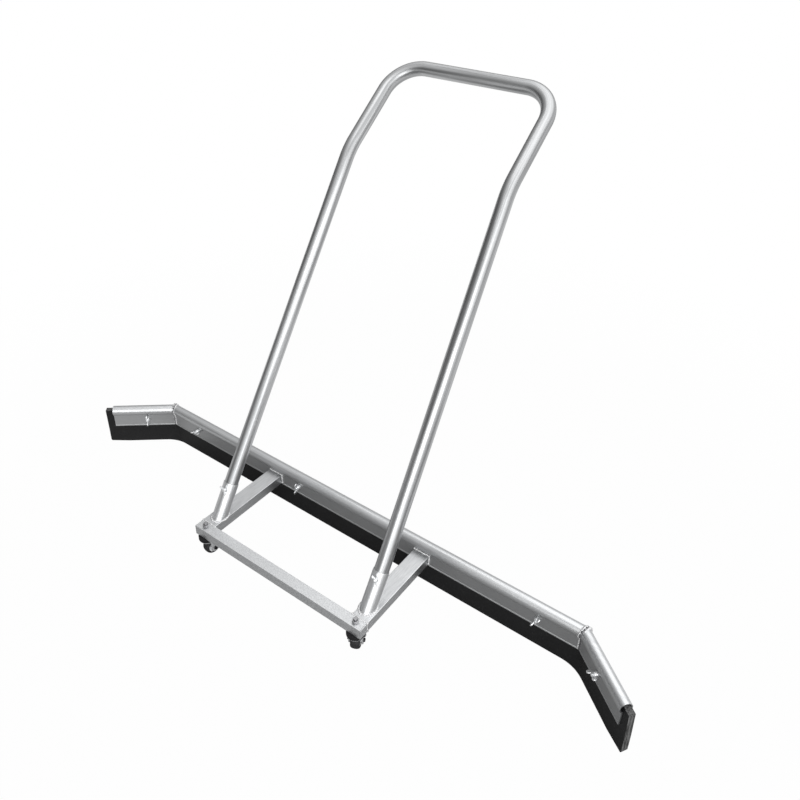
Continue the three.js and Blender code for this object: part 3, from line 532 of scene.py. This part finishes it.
def bladeColumns(height):
    # stations at one height: place, way to the back face and forward lean
    rake, middle = beam["rake"], beam["width"] / 2
    openness = max(0, 1 - height / blade["open"])
    opened = openness * openness * (3 - 2 * openness)
    radius = blade["foldRadius"] + (blade["sweepRadius"] - blade["foldRadius"]) * opened
    below = max(0, blade["endRound"] - height)
    endCut = blade["endRound"] - math.sqrt(blade["endRound"] ** 2 - below ** 2)
    slant = blade["slant"] * (1 - height / blade["top"])
    cornerRun, tangent = middle * mitreSlope, radius * mitreSlope
    corner = beam["halfLength"] + cornerRun
    strip = blade["endStrip"] / blade["leanFade"]
    lean, endLean = (blade[key] * openness ** blade["leanPower"] for key in ("lean", "endLean"))
    halves = []
    for side, overhang, skew in ((-1, blade["leftOverhang"], 0),
                                 (1, blade["rightOverhang"] + slant, blade["skew"])):
        half = []
        for step in range(blade["foldSteps"] + 1):
            turn = rake * step / blade["foldSteps"]
            half.append((side * (corner - tangent + radius * math.sin(turn)),
                         middle - radius * (1 - math.cos(turn)),
                         side * math.sin(turn), math.cos(turn), lean))
        length = cornerRun + beam["wingLength"] + overhang - endCut
        for share in (0, 1 - strip, 1):
            run = length - blade["leanFade"] * (1 - share)
            tilt = skew * share
            half.append((side * (corner + run * math.cos(rake)), middle - run * math.sin(rake),
                         side * (math.sin(rake) - tilt * math.cos(rake)),
                         math.cos(rake) + tilt * math.sin(rake), lean + (endLean - lean) * share))
        halves.append(half)
    return halves[0][::-1] + halves[1]


def bladeLines(height, points):
    # one line of points for each station across the rubber, at one height
    columns = bladeColumns(height)
    half = blade["thickness"] / 2
    topCut = blade["topCut"] if height == blade["top"] else 0
    reach = half - (max(0, blade["edge"] - height) * blade["edgeCut"] + topCut)
    lines = []
    for across, sink in zip(blade["stations"], blade["sinks"]):
        line = []
        for index, (x, y, nx, ny, lean) in enumerate(columns):
            offset = max(-reach, min(reach, across * half)) - lean
            atEnd = index in (0, len(columns) - 1) and height > blade["edge"]
            pull = sink * blade["grooveDepth"] if atEnd else 0
            side = -1 if index < len(columns) / 2 else 1
            line.append(len(points))
            points.append(at(x + nx * offset - side * math.cos(beam["rake"]) * pull,
                             y + ny * offset + math.sin(beam["rake"]) * pull, height))
        lines.append(line)
    return lines


def bladeRing(row):
    # round the blade at one height: front, right end, back and left end
    return row[0] + [line[-1] for line in row[1:-1]] + row[-1][::-1] + [line[0] for line in row[-2:0:-1]]


def makeBlade():
    edge, endRound = blade["edge"], blade["endRound"]
    heights = [0, edge * blade["edgeShare"], edge, *stepsTo(edge, endRound, blade["endRows"]),
               *stepsTo(endRound, blade["top"] - blade["topRound"], blade["rows"]), blade["top"]]
    points, faces, cutShares = [], [], []
    rows = [bladeLines(height, points) for height in heights]
    columns, across = len(rows[0][0]) - 1, len(blade["stations"]) - 1
    for low, high in zip(rows, rows[1:]):
        faces += bandFaces(bladeRing(low), bladeRing(high))
        cutShares += ([0] * columns + [1] * across) * 2
    for row, isTop in ((rows[0], False), (rows[-1], True)):
        for near, far in zip(row, row[1:]):
            for column in range(columns):
                face = (near[column], near[column + 1], far[column + 1], far[column])
                faces.append(face if isTop else face[::-1])
                cutShares.append(int(isTop))
    piece = meshObject("rubberBlade", points, faces)
    marks = piece.data.attributes.new("cutShare", "FLOAT", "FACE")
    marks.data.foreach_set("value", cutShares)
    finishPiece(piece, "bladeRubber", "frame", ["rubber_blade"], blade["sharpAngle"])


makeBlade()
print("blade made")

# Frame: cross bar, arms and leaning sleeves
frameBox = dict(barRound=1.5, armRound=1.6, plateRound=0.5, bossRound=0.5)
leg = dict(x=217, y=-193, base=83, lean=math.radians(31.8), upper=math.radians(51), length=893,
           upperLength=238, topHalf=200.5, radius=16, wall=1.5, sides=48, sharpAngle=40, drawInAt=100,
           drawInRadius=260, drawInSteps=4, kinkRadius=150, kinkSteps=20, cornerRadius=74, cornerSteps=32)
sleeve = dict(outer=17.5, inner=16.3, length=84, gap=0.3, rim=0.5, rimCut=0.3, sides=56, bossHeight=2,
              screwHeight=68, screwFacing=math.radians(12))
lower = Vector((0, math.sin(leg["lean"]), math.cos(leg["lean"])))
leaned = Matrix.Rotation(-leg["lean"], 4, "X")

softenNode("cross_bar", frameBox["barRound"], "frame")
for side, word in sides:
    softenNode("arm_" + word, frameBox["armRound"], "arm")
    softenNode("bar_end_plate_" + word, frameBox["plateRound"], "frame")


def onSleeve(side, radius, angle, along=None):
    # a point on a sleeve: at a height along it, or where it meets the arm
    spot = Vector((radius * math.cos(angle), radius * math.sin(angle), 0))
    radial = leaned.to_3x3() @ spot
    if along is None:
        along = (sleeve["gap"] - radial.z) / math.cos(leg["lean"])
    return at(side * leg["x"], leg["y"], leg["base"]) + (radial + lower * along) * mm


def makeSleeve(side, word):
    outer, inner, top, rim = sleeve["outer"], sleeve["inner"], sleeve["length"], sleeve["rim"]
    cut = rim * sleeve["rimCut"]
    loops = [(outer, None), (outer, top - rim), (outer - cut, top - cut), (outer - rim, top),
             (inner, top), (inner, None)]
    steps = sleeve["sides"]
    turns = fullTurn(steps)
    points = [onSleeve(side, radius, angle, along) for radius, along in loops for angle in turns]
    rings = [range(start, start + steps) for start in range(0, len(points), steps)]
    faces = [face for ring, after in zip(rings, rings[1:] + rings[:1]) for face in bandFaces(ring, after)]
    piece = meshObject("sleeve" + word.title(), points, faces)
    markTube(piece, [(radius * mm, angle, (along or 0) * mm) for radius, along in loops for angle in turns])
    finishPiece(piece, "sleeve", "frame", ["socket_" + word])
    softenNode("socket_boss_" + word, frameBox["bossRound"], "frame", name="sleeve_boss_" + word)


for side, word in sides:
    makeSleeve(side, word)
print("frame made")


# Handle

def roundedRoute(corners):
    path = [corners[0][0]]
    for index in range(1, len(corners) - 1):
        place, radius, steps = corners[index]
        before = (place - corners[index - 1][0]).normalized()
        after = (corners[index + 1][0] - place).normalized()
        turn = before.angle(after)
        inward = (after - before * before.dot(after)).normalized()
        start = place - before * radius * math.tan(turn / 2)
        for step in range(steps + 1):
            angle = turn * step / steps
            path.append(start + before * radius * math.sin(angle) + inward * radius * (1 - math.cos(angle)))
    path.append(corners[-1][0])
    return path


def makeHandle():
    upper = Vector((0, math.sin(leg["upper"]), math.cos(leg["upper"])))
    footRise = leg["radius"] * math.tan(leg["lean"]) + 2 * sleeve["gap"] / math.cos(leg["lean"])
    base = at(0, leg["y"], leg["base"])
    kink = base + lower * leg["length"] * mm
    stops = [(base + lower * footRise * mm, leg["x"], 0, 0),
             (base + lower * leg["drawInAt"] * mm, leg["x"], leg["drawInRadius"], leg["drawInSteps"]),
             (kink, leg["topHalf"], leg["kinkRadius"], leg["kinkSteps"]),
             (kink + upper * leg["upperLength"] * mm, leg["topHalf"], leg["cornerRadius"],
              leg["cornerSteps"])]
    left, right = ([(Vector((side * x * mm, place.y, place.z)), radius * mm, steps)
                    for place, x, radius, steps in stops] for side in (-1, 1))
    tube = sweptTube("handleTube", roundedRoute(left + right[::-1]), leg["radius"] * mm,
                     (leg["radius"] - leg["wall"]) * mm, leg["sides"])
    finishPiece(tube, "tube", "handle", ["handle_tube"], leg["sharpAngle"])


makeHandle()
print("handle made")

# Wing nuts on the blade's bolts, and smaller wing screws in the sleeves; turns in degrees
wings = dict(hubBase=6.6, hubTop=5.2, hubHeight=8, skirt=1.6, shoulder=6.6, flare=0.4, crown=0.6,
             hubSteps=40, span=33, height=17, foot=1.4, thickness=2.6, tip=5, tipStart=-math.pi / 4,
             tipTurn=1.25 * math.pi, tipSteps=16, neck=0.6, voxel=0.42, relax=0.6, relaxSteps=5, gap=0.3,
             shank=3, shankRound=0.5, shankSteps=28, screwShare=0.72, sharpAngle=60,
             nutTurns=(90, 14, 84, 40, 57, 20), screwTurns=(146, 138))


def wingPrototype():
    # hub and two swept wings, melted together into one forged shape
    base, top, high, foot = (wings[key] for key in ("hubBase", "hubTop", "hubHeight", "foot"))
    profile = [(0, 0), (base, 0), (base, wings["skirt"]), (top + wings["flare"], wings["shoulder"]),
               (top - wings["crown"], high), (0, high)]
    head = turnedPiece("wingHead", profile, Matrix.Rotation(math.pi / 2, 4, "X"), wings["hubSteps"])
    tip = wings["tip"]
    tipX, tipY = wings["span"] / 2 - tip, wings["height"] - tip
    outline = [(0, foot), (base, foot)]
    for step in range(wings["tipSteps"] + 1):
        angle = wings["tipStart"] + wings["tipTurn"] * step / wings["tipSteps"]
        outline.append((tipX + tip * math.cos(angle), tipY + tip * math.sin(angle)))
    outline += [(top * wings["neck"], high), (0, high)]
    half = wings["thickness"] / 2
    blades = [prismBetween("wing", outline,
                           lambda u, v: Vector((side * u, -v, -half)) * mm,
                           lambda u, v: Vector((side * u, -v, half)) * mm) for side in (-1, 1)]
    for wing in blades:
        shadeSoftly(wing, edges["sharp"])
    joinMeshes(head.data, blades)
    addModifier(head, "REMESH", mode="VOXEL", voxel_size=wings["voxel"] * mm)
    addModifier(head, "SMOOTH", factor=wings["relax"], iterations=wings["relaxSteps"])
    return settle(head)


prototype = wingPrototype()


def placeWing(name, matrix, body, share=1.0, shank=0):
    # the head at a share of its size, with a plain shank behind it where it is a screw
    mesh = prototype.data.copy()
    mesh.transform(Matrix.Scale(share, 4))
    if shank:
        radius, rounding = wings["shank"], wings["shankRound"]
        start = -wings["hubHeight"] * share / 2
        profile = [(0, start), (radius, start), (radius, shank - rounding), (radius - rounding, shank),
                   (0, shank)]
        rod = turnedPiece("shank", profile, Matrix.Rotation(-math.pi / 2, 4, "X"), wings["shankSteps"])
        joinMeshes(mesh, [rod])
    mesh.transform(matrix)
    finishPiece(addObject(name, mesh), "zinc", body, [body], wings["sharpAngle"])


for index, turn in enumerate(wings["nutTurns"], 1):
    joint = joints[f"wing_nut_{index}_turn"]
    facing = math.atan2(joint["axis"][0], -joint["axis"][1])
    matrix = (Matrix.Translation(joint["pos_m"]) @ Matrix.Rotation(facing, 4, "Z")
              @ Matrix.Translation((0, -wings["gap"] * mm, 0)) @ Matrix.Rotation(-math.radians(turn), 4, "Y"))
    placeWing(f"wingNut{index}", matrix, f"wing_nut_{index}")

for (side, word), turn in zip(sides, wings["screwTurns"]):
    reach = sleeve["outer"] + sleeve["bossHeight"] + wings["gap"]
    matrix = (Matrix.Translation(at(side * leg["x"], leg["y"], leg["base"])) @ leaned
              @ Matrix.Rotation(sleeve["screwFacing"], 4, "Z")
              @ Matrix.Translation(Vector((0, -reach, sleeve["screwHeight"])) * mm)
              @ Matrix.Rotation(-math.radians(turn), 4, "Y"))
    placeWing("sleeveScrew" + word.title(), matrix, f"socket_screw_{word}", wings["screwShare"],
              reach - leg["radius"] - wings["gap"])
bpy.data.objects.remove(prototype)
print("wing nuts and screws made")


# Geometry Nodes for what repeats: the weld beads and the blade's bolts

def startShapeTree(name, inputs):
    given = [("Geometry", "Geometry", None), *inputs, ("Finish", "Material", None)]
    return startTree("Geometry", name, given, [("Geometry", "Geometry")])


def endShapeTree(tree, given, result, **inputs):
    # instances on the points, made real and given their finish
    placed = node(tree, "GeometryNodeInstanceOnPoints", inputs)
    real = node(tree, "GeometryNodeRealizeInstances", {0: placed.outputs[0]})
    finish = node(tree, "GeometryNodeSetMaterial", {0: real.outputs[0], "Material": given["Finish"]})
    feed(tree, result[0], finish.outputs[0])
    return tree


def runTree(piece, tree, **values):
    modifier = addModifier(piece, "NODES", node_group=tree)
    for item in tree.interface.items_tree:
        if item.in_out == "INPUT" and item.name in values:
            modifier[item.identifier] = values[item.name]
    return settle(piece)


def makeBeadTree():
    tree, given, result = startShapeTree("weldBead", [
        ("Pitch", "Float", 0.0022), ("Size", "Vector", (0.0019, 0.0026, 0.0016)),
        ("Uneven", "Float", 0.2), ("Seed", "Int", 1)])
    curve = node(tree, "GeometryNodeMeshToCurve", {0: given["Geometry"]})
    spots = node(tree, "GeometryNodeResampleCurve", {"Curve": curve.outputs[0], "Length": given["Pitch"]},
                 mode="LENGTH")
    ripple = node(tree, "GeometryNodeMeshIcoSphere", {"Radius": 1, "Subdivisions": 2})
    tangent = node(tree, "GeometryNodeInputTangent")
    turn = node(tree, "FunctionNodeAlignRotationToVector", {"Vector": tangent.outputs[0]}, axis="X")
    vary = node(tree, "FunctionNodeRandomValue", {"Seed": given["Seed"]}, data_type="FLOAT")
    limits = [socket for socket in vary.inputs if socket.type == "VALUE"]
    feed(tree, limits[0], math2(tree, "SUBTRACT", 1, given["Uneven"]))
    feed(tree, limits[1], math2(tree, "ADD", 1, given["Uneven"]))
    varied = [socket for socket in vary.outputs if socket.type == "VALUE"][0]
    scale = node(tree, "ShaderNodeVectorMath", {0: given["Size"], "Scale": varied}, operation="SCALE")
    return endShapeTree(tree, given, result, Points=spots.outputs[0], Instance=ripple.outputs["Mesh"],
                        Rotation=turn.outputs[0], Scale=scale.outputs[0])


beadTree = makeBeadTree()
welds = dict(pitch=2.1, size=(1.9, 2.4, 1.5), uneven=0.18, seed=4, sharpAngle=80, footRise=3,
             mitreOffset=3.4, mitreSize=1.15, mitreSpacing=1.5, shadeSpacing=2.8,
             armIn=200, armOut=240, top=83, low=58, beamFace=-0.6, barFace=-224, armSize=1.3,
             armSpacing=1.1, barSize=0.85, sleeveRise=0.6, sleeveSteps=40, sleeveSize=1.2, sleeveSpacing=1.1)


def addWeld(name, paths, share=1.0, spacing=1.0, look="weld"):
    # one object of bead ripples over several paths of points
    points, lines = [], []
    for path in paths:
        start = len(points)
        points += path
        lines += [(index, index + 1) for index in range(start, len(points) - 1)]
    piece = runTree(meshObject(name, points, [], lines), beadTree, Seed=welds["seed"],
                    Pitch=welds["pitch"] * mm * share * spacing, Uneven=welds["uneven"],
                    Size=[value * mm * share for value in welds["size"]], Finish=looks[look])
    finishPiece(piece, look, "frame", [], welds["sharpAngle"])


def mitrePath(side, offset):
    # up the flange, over the hood and down the back wall, beside the mitre
    foot = beam["bottom"] + welds["footRise"]
    hood = [corner[:2] for corner in hoodArc(beam["hoodOuter"], hoodFront, 0)]
    return [at(side * (beam["halfLength"] + y * mitreSlope + offset), y, z)
            for y, z in [(0, foot), *hood, (beam["width"], foot)]]


def armPaths(side, y):
    # over the top and down both sides of an arm's end
    top, low = welds["top"], welds["low"]
    inTop, outTop = at(side * welds["armIn"], y, top), at(side * welds["armOut"], y, top)
    return [[inTop, outTop, at(side * welds["armOut"], y, low)],
            [inTop, at(side * welds["armIn"], y, low)]]


for side, word in sides:
    title, apart = word.title(), welds["mitreOffset"]
    addWeld("mitreWeld" + title, [mitrePath(side, -apart), mitrePath(side, apart)], welds["mitreSize"],
            welds["mitreSpacing"])
    # painted shade: a row of dark beads down the middle of the mitre, standing in for the shade between the
    # bead rows
    addWeld("mitreWeldPaintedShade" + title, [mitrePath(side, 0)], welds["mitreSize"], welds["shadeSpacing"],
            "paintedWeldShade")
    addWeld("armWeld" + title, armPaths(side, welds["beamFace"]), welds["armSize"], welds["armSpacing"])
    addWeld("barWeld" + title, armPaths(side, welds["barFace"]), welds["barSize"])
    ring = [onSleeve(side, sleeve["outer"] + welds["sleeveRise"], angle)
            for angle in [*fullTurn(welds["sleeveSteps"]), 2 * math.pi]]
    addWeld("sleeveWeld" + title, [ring], welds["sleeveSize"], welds["sleeveSpacing"])
print("welds made")

bolts = dict(steps=24, threadLead=0.0006, threadFlare=1.12, threadShare=0.6, headFlat=0.42,
             headSegments=32, headRings=16)


def makeBoltTree():
    tree, given, result = startShapeTree("bladeBolts", [
        ("Shank Radius", "Float", 0.003), ("Thread Pitch", "Float", 0.001),
        ("Thread Length", "Float", 0.011), ("Thread Start", "Float", -0.0133),
        ("Shank Length", "Float", 0.0355), ("Head Radius", "Float", 0.008),
        ("Head Place", "Float", 0.0209)])
    radius, pitch, threadStart = given["Shank Radius"], given["Thread Pitch"], given["Thread Start"]

    def upward(height):
        return node(tree, "ShaderNodeCombineXYZ", {"Z": height}).outputs[0]

    half = math2(tree, "MULTIPLY", given["Shank Length"], 0.5)
    rod = node(tree, "GeometryNodeMeshCylinder", {
        "Vertices": bolts["steps"], "Radius": radius, "Depth": given["Shank Length"]})
    shank = node(tree, "GeometryNodeTransform", {
        "Geometry": rod.outputs["Mesh"], "Translation": upward(math2(tree, "ADD", half, threadStart))})
    line = node(tree, "GeometryNodeMeshLine", {
        "Count": math2(tree, "DIVIDE", given["Thread Length"], pitch),
        "Start Location": upward(math2(tree, "ADD", threadStart, bolts["threadLead"])),
        "Offset": upward(pitch)}, mode="OFFSET")
    ridge = node(tree, "GeometryNodeMeshCone", {
        "Vertices": bolts["steps"], "Radius Top": radius,
        "Radius Bottom": math2(tree, "MULTIPLY", radius, bolts["threadFlare"]),
        "Depth": math2(tree, "MULTIPLY", pitch, bolts["threadShare"])})
    thread = node(tree, "GeometryNodeInstanceOnPoints", {
        "Points": line.outputs[0], "Instance": ridge.outputs["Mesh"]})
    dome = node(tree, "GeometryNodeMeshUVSphere", {
        "Segments": bolts["headSegments"], "Rings": bolts["headRings"], "Radius": given["Head Radius"]})
    head = node(tree, "GeometryNodeTransform", {
        "Geometry": dome.outputs["Mesh"], "Translation": upward(given["Head Place"]),
        "Scale": (1, 1, bolts["headFlat"])})
    whole = node(tree, "GeometryNodeJoinGeometry")
    for part in (head, thread, shank):
        feed(tree, whole.inputs[0], part.outputs[0])
    facing = node(tree, "GeometryNodeInputNamedAttribute", {"Name": "boltTurn"}, data_type="FLOAT_VECTOR")
    turn = node(tree, "FunctionNodeEulerToRotation", {0: facing.outputs["Attribute"]})
    return endShapeTree(tree, given, result, Points=given["Geometry"], Instance=whole.outputs[0],
                        Rotation=turn.outputs[0])


def makeBolts():
    # the bolt's own z runs from the nut to the head at the back of the beam
    places = [joints[f"wing_nut_{index}_turn"] for index in range(1, 7)]
    piece = meshObject("bladeBolts", [place["pos_m"] for place in places], [])
    turns = piece.data.attributes.new("boltTurn", "FLOAT_VECTOR", "POINT")
    for turn, place in zip(turns.data, places):
        turn.vector = (-Vector(place["axis"])).to_track_quat("Z", "Y").to_euler()
    piece = runTree(piece, makeBoltTree(), Finish=looks["zinc"])
    finishPiece(piece, "zinc", "frame", [f"blade_bolt_{index}" for index in range(1, 7)])


makeBolts()
print("bolts made")

# Castors
castor = dict(cupRadius=19.5, cupHeight=10, cupTop=57.7, cupBore=4.3, cupRound=1.4, cupCut=0.4,
              cupSteps=56, grooveDepth=0.9, grooveMouth=1, grooveFloor=0.5, wheelRadius=20, wheelWidth=21,
              tyreDepth=6, tyreSteps=72, tyreSharpAngle=50, beadRise=0.4, beadCut=0.3,
              tread=((4.2, 0.1), (3, 0.7), (1.9, 1.8), (1, 3.5), (0.3, 6.2)),
              hubReach=12.7, hubBore=3.3, hubGap=0.3, hubSteps=64, boss=5.2, bossRound=0.5,
              web=((5.8, 2.6), (7, 2.9)), hubRim=((3, 2.3), (1.6, 1.3), (0.3, 1.2), (0, 1.5)))
# CAD solid, edge rounding, finish and body of the castor's other pieces
castorSolids = (("fork", 0.5, "zinc", "swivel"), ("axle", 0.5, "blackSteel", "swivel"),
                ("pedal", 0.6, "blackNylon", "pedal"), ("nut", 0.5, "dullZinc", None),
                ("stem", 0.4, "dullZinc", None), ("rivet_1", 0.3, "zinc", "swivel"),
                ("rivet_2", 0.3, "zinc", "swivel"))


def makeCastor(word):
    swivel = joints[f"castor_{word}_swivel_turn"]["pos_m"]
    wheel = joints[f"castor_{word}_wheel_turn"]
    turning = f"castor_{word}_wheel"
    heading = Matrix.Rotation(math.atan2(-wheel["axis"][0], wheel["axis"][1]), 4, "Z")
    upright = Matrix.Translation((swivel[0], swivel[1], 0)) @ heading
    axle = Matrix.Translation(wheel["pos_m"]) @ heading @ Matrix.Rotation(math.pi / 2, 4, "X")

    radius, top, bore = castor["cupRadius"], castor["cupTop"], castor["cupBore"]
    rounding, cut = castor["cupRound"], castor["cupCut"]
    middle = top - castor["cupHeight"] / 2
    profile = [(bore, top), (radius - rounding, top), (radius - cut, top - cut), (radius, top - rounding),
               (radius, middle + castor["grooveMouth"]),
               (radius - castor["grooveDepth"], middle + castor["grooveFloor"])]
    cup = turnedPiece(camel("castor_cup_" + word), mirrored(profile, middle), upright, castor["cupSteps"])
    finishPiece(cup, "blackNylon", "frame", ["castor_cup_" + word])

    half, outer = castor["wheelWidth"] / 2, castor["wheelRadius"]
    inner = outer - castor["tyreDepth"]
    profile = [(inner, half - castor["beadCut"]), (inner + castor["beadRise"], half),
               *((outer - deep, half - back) for deep, back in castor["tread"]), (outer, 0)]
    tyre = turnedPiece(camel("castor_tyre_" + word), mirrored(profile), axle, castor["tyreSteps"])
    finishPiece(tyre, "tyreRubber", turning, ["castor_tyre_" + word], castor["tyreSharpAngle"])

    rim, reach = inner - castor["hubGap"], castor["hubReach"]
    boss, rounding = castor["boss"], castor["bossRound"]
    profile = [(castor["hubBore"], reach), (boss, reach), (boss + rounding, reach - rounding),
               *((radius, half - back) for radius, back in castor["web"]),
               *((rim - deep, half - back) for deep, back in castor["hubRim"])]
    hub = turnedPiece(camel("castor_hub_" + word), mirrored(profile), axle, castor["hubSteps"])
    finishPiece(hub, "hubPlastic", turning, ["castor_hub_" + word])

    for part, width, look, body in castorSolids:
        softenNode(f"castor_{part}_{word}", width, look, f"castor_{word}_{body}" if body else "frame")


for side, word in sides:
    makeCastor(word)
print("castors made")

# Studio; each share is the white that a ray meets from one end of its reach to the other
studio = dict(floorSize=14, floorDrop=0.0005, floorColour=0.36,
              # the fade and patch shares below are painted light on the floor, seen only in reflections
              seenReach=(0.9, 1.8), seenShare=(0.985, 1.0), paintedFadeReach=(-0.12, 0.05),
              paintedFadeShare=(0.08, 0.8), paintedPatchReach=(-0.62, -0.5), paintedPatchShare=(0.6, 0.08),
              worldFill=0.38, brightFrom=(0.62, 0.12, 0.77), brightReach=(-0.7, 0.75),
              brightShare=(0.1, 0.9))
lamps = {
    "keyBox": dict(place=(2.6, -1.7, 1.7), target=(0, 0.05, 0.3), size=4.0, power=50),
    "lowBox": dict(place=(1.6, -3.5, 1.5), target=(-0.6, 0, 0.1), size=2.9, power=54),
    "topBox": dict(place=(0.9, 0.9, 3.4), target=(0, 0.05, 0.3), size=4.8, power=66),
}


def makeFloor():
    # the camera sees the floor as white; reflections see painted light on it, a white glow that fades out in
    # front of the blade
    size = studio["floorSize"]
    corners = [(x * size, y * size, -studio["floorDrop"]) for x, y in ((-1, -1), (1, -1), (1, 1), (-1, 1))]
    floor = meshObject("floor", corners, [(0, 1, 2, 3)])
    material = bpy.data.materials.new("paleFloor")
    material.use_nodes = True
    tree = material.node_tree
    tree.nodes.clear()
    matt = node(tree, "ShaderNodeBsdfDiffuse", {"Color": [studio["floorColour"]] * 3})
    glow = node(tree, "ShaderNodeEmission", {"Strength": 1})
    rays = node(tree, "ShaderNodeLightPath").outputs
    place = node(tree, "ShaderNodeTexCoord").outputs["Object"]
    distance = node(tree, "ShaderNodeVectorMath", {0: place}, operation="LENGTH")
    reach = mapRange(tree, distance.outputs["Value"], studio["seenReach"], studio["seenShare"])
    parts = node(tree, "ShaderNodeSeparateXYZ", {0: place}).outputs
    # painted light for reflections: the floor's glow fades from behind the blade to its front
    paintedFade = mapRange(tree, parts["Y"], studio["paintedFadeReach"], studio["paintedFadeShare"])
    # a painted bright patch of light in front of the left wing, for reflections only
    paintedPatch = mapRange(tree, parts["X"], studio["paintedPatchReach"], studio["paintedPatchShare"], "SMOOTHSTEP")
    paintedReflectionLight = math2(tree, "MAXIMUM", paintedFade, paintedPatch)
    seen = math2(tree, "MULTIPLY", rays["Is Camera Ray"], reach)
    share = math2(tree, "ADD", seen, math2(tree, "MULTIPLY", mirrorRays(tree, rays), paintedReflectionLight))
    mix = node(tree, "ShaderNodeMixShader", {0: share, 1: matt.outputs[0], 2: glow.outputs[0]})
    node(tree, "ShaderNodeOutputMaterial", {"Surface": mix.outputs[0]})
    floor.data.materials.append(material)


def addSoftbox(name, place, target, size, power):
    lamp = bpy.data.lights.new(name, "AREA")
    lamp.size = size
    lamp.energy = power
    holder = addObject(name, lamp)
    holder.location = place
    holder.visible_camera = False
    holder.rotation_euler = (Vector(target) - Vector(place)).to_track_quat("-Z", "Y").to_euler()


def makeWorld():
    # white to the camera, an even fill for the object, a soft bright side in reflections
    world = bpy.data.worlds.new("studio")
    bpy.context.scene.world = world
    world.use_nodes = True
    tree = world.node_tree
    back = tree.nodes["Background"].inputs
    feed(tree, back["Color"], (1, 1, 1))
    rays = node(tree, "ShaderNodeLightPath").outputs
    way = node(tree, "ShaderNodeTexCoord").outputs["Generated"]
    toward = node(tree, "ShaderNodeVectorMath", {0: way, 1: studio["brightFrom"]}, operation="DOT_PRODUCT")
    side = mapRange(tree, toward.outputs["Value"], studio["brightReach"], studio["brightShare"], "SMOOTHSTEP")
    offObject = blend(tree, mirrorRays(tree, rays), studio["worldFill"], side)
    feed(tree, back["Strength"], blend(tree, rays["Is Camera Ray"], offObject, 1.0))


makeFloor()
makeWorld()
for name, lamp in lamps.items():
    addSoftbox(name, **lamp)

camera = dict(place=(0.86270, -1.04497, 1.38299), yaw=-35.65, pitch=31.73, roll=1.22,
              focal=776.42, centre=(387.52, 342.96), frame=800, sensor=36)


def makeCamera():
    yaw, pitch, roll = (math.radians(camera[key]) for key in ("yaw", "pitch", "roll"))
    ahead = Vector((math.sin(yaw) * math.cos(pitch), math.cos(yaw) * math.cos(pitch), -math.sin(pitch)))
    level = Vector((math.cos(yaw), -math.sin(yaw), 0))
    rise = level.cross(ahead)
    right = level * math.cos(roll) + rise * math.sin(roll)
    up = rise * math.cos(roll) - level * math.sin(roll)
    width = camera["frame"]
    lens = bpy.data.cameras.new("photoCamera")
    lens.sensor_width = camera["sensor"]
    lens.lens = camera["focal"] * camera["sensor"] / width
    lens.shift_x = (width / 2 - camera["centre"][0]) / width
    lens.shift_y = (camera["centre"][1] - width / 2) / width
    holder = addObject("photoCamera", lens)
    place = Vector(camera["place"]) + Vector((0, lineY, 0))
    holder.matrix_world = Matrix.Translation(place) @ Matrix((right, up, -ahead)).transposed().to_4x4()
    bpy.context.scene.camera = holder


makeCamera()
bpy.context.scene.view_settings.view_transform = "Standard"
print("studio ready")
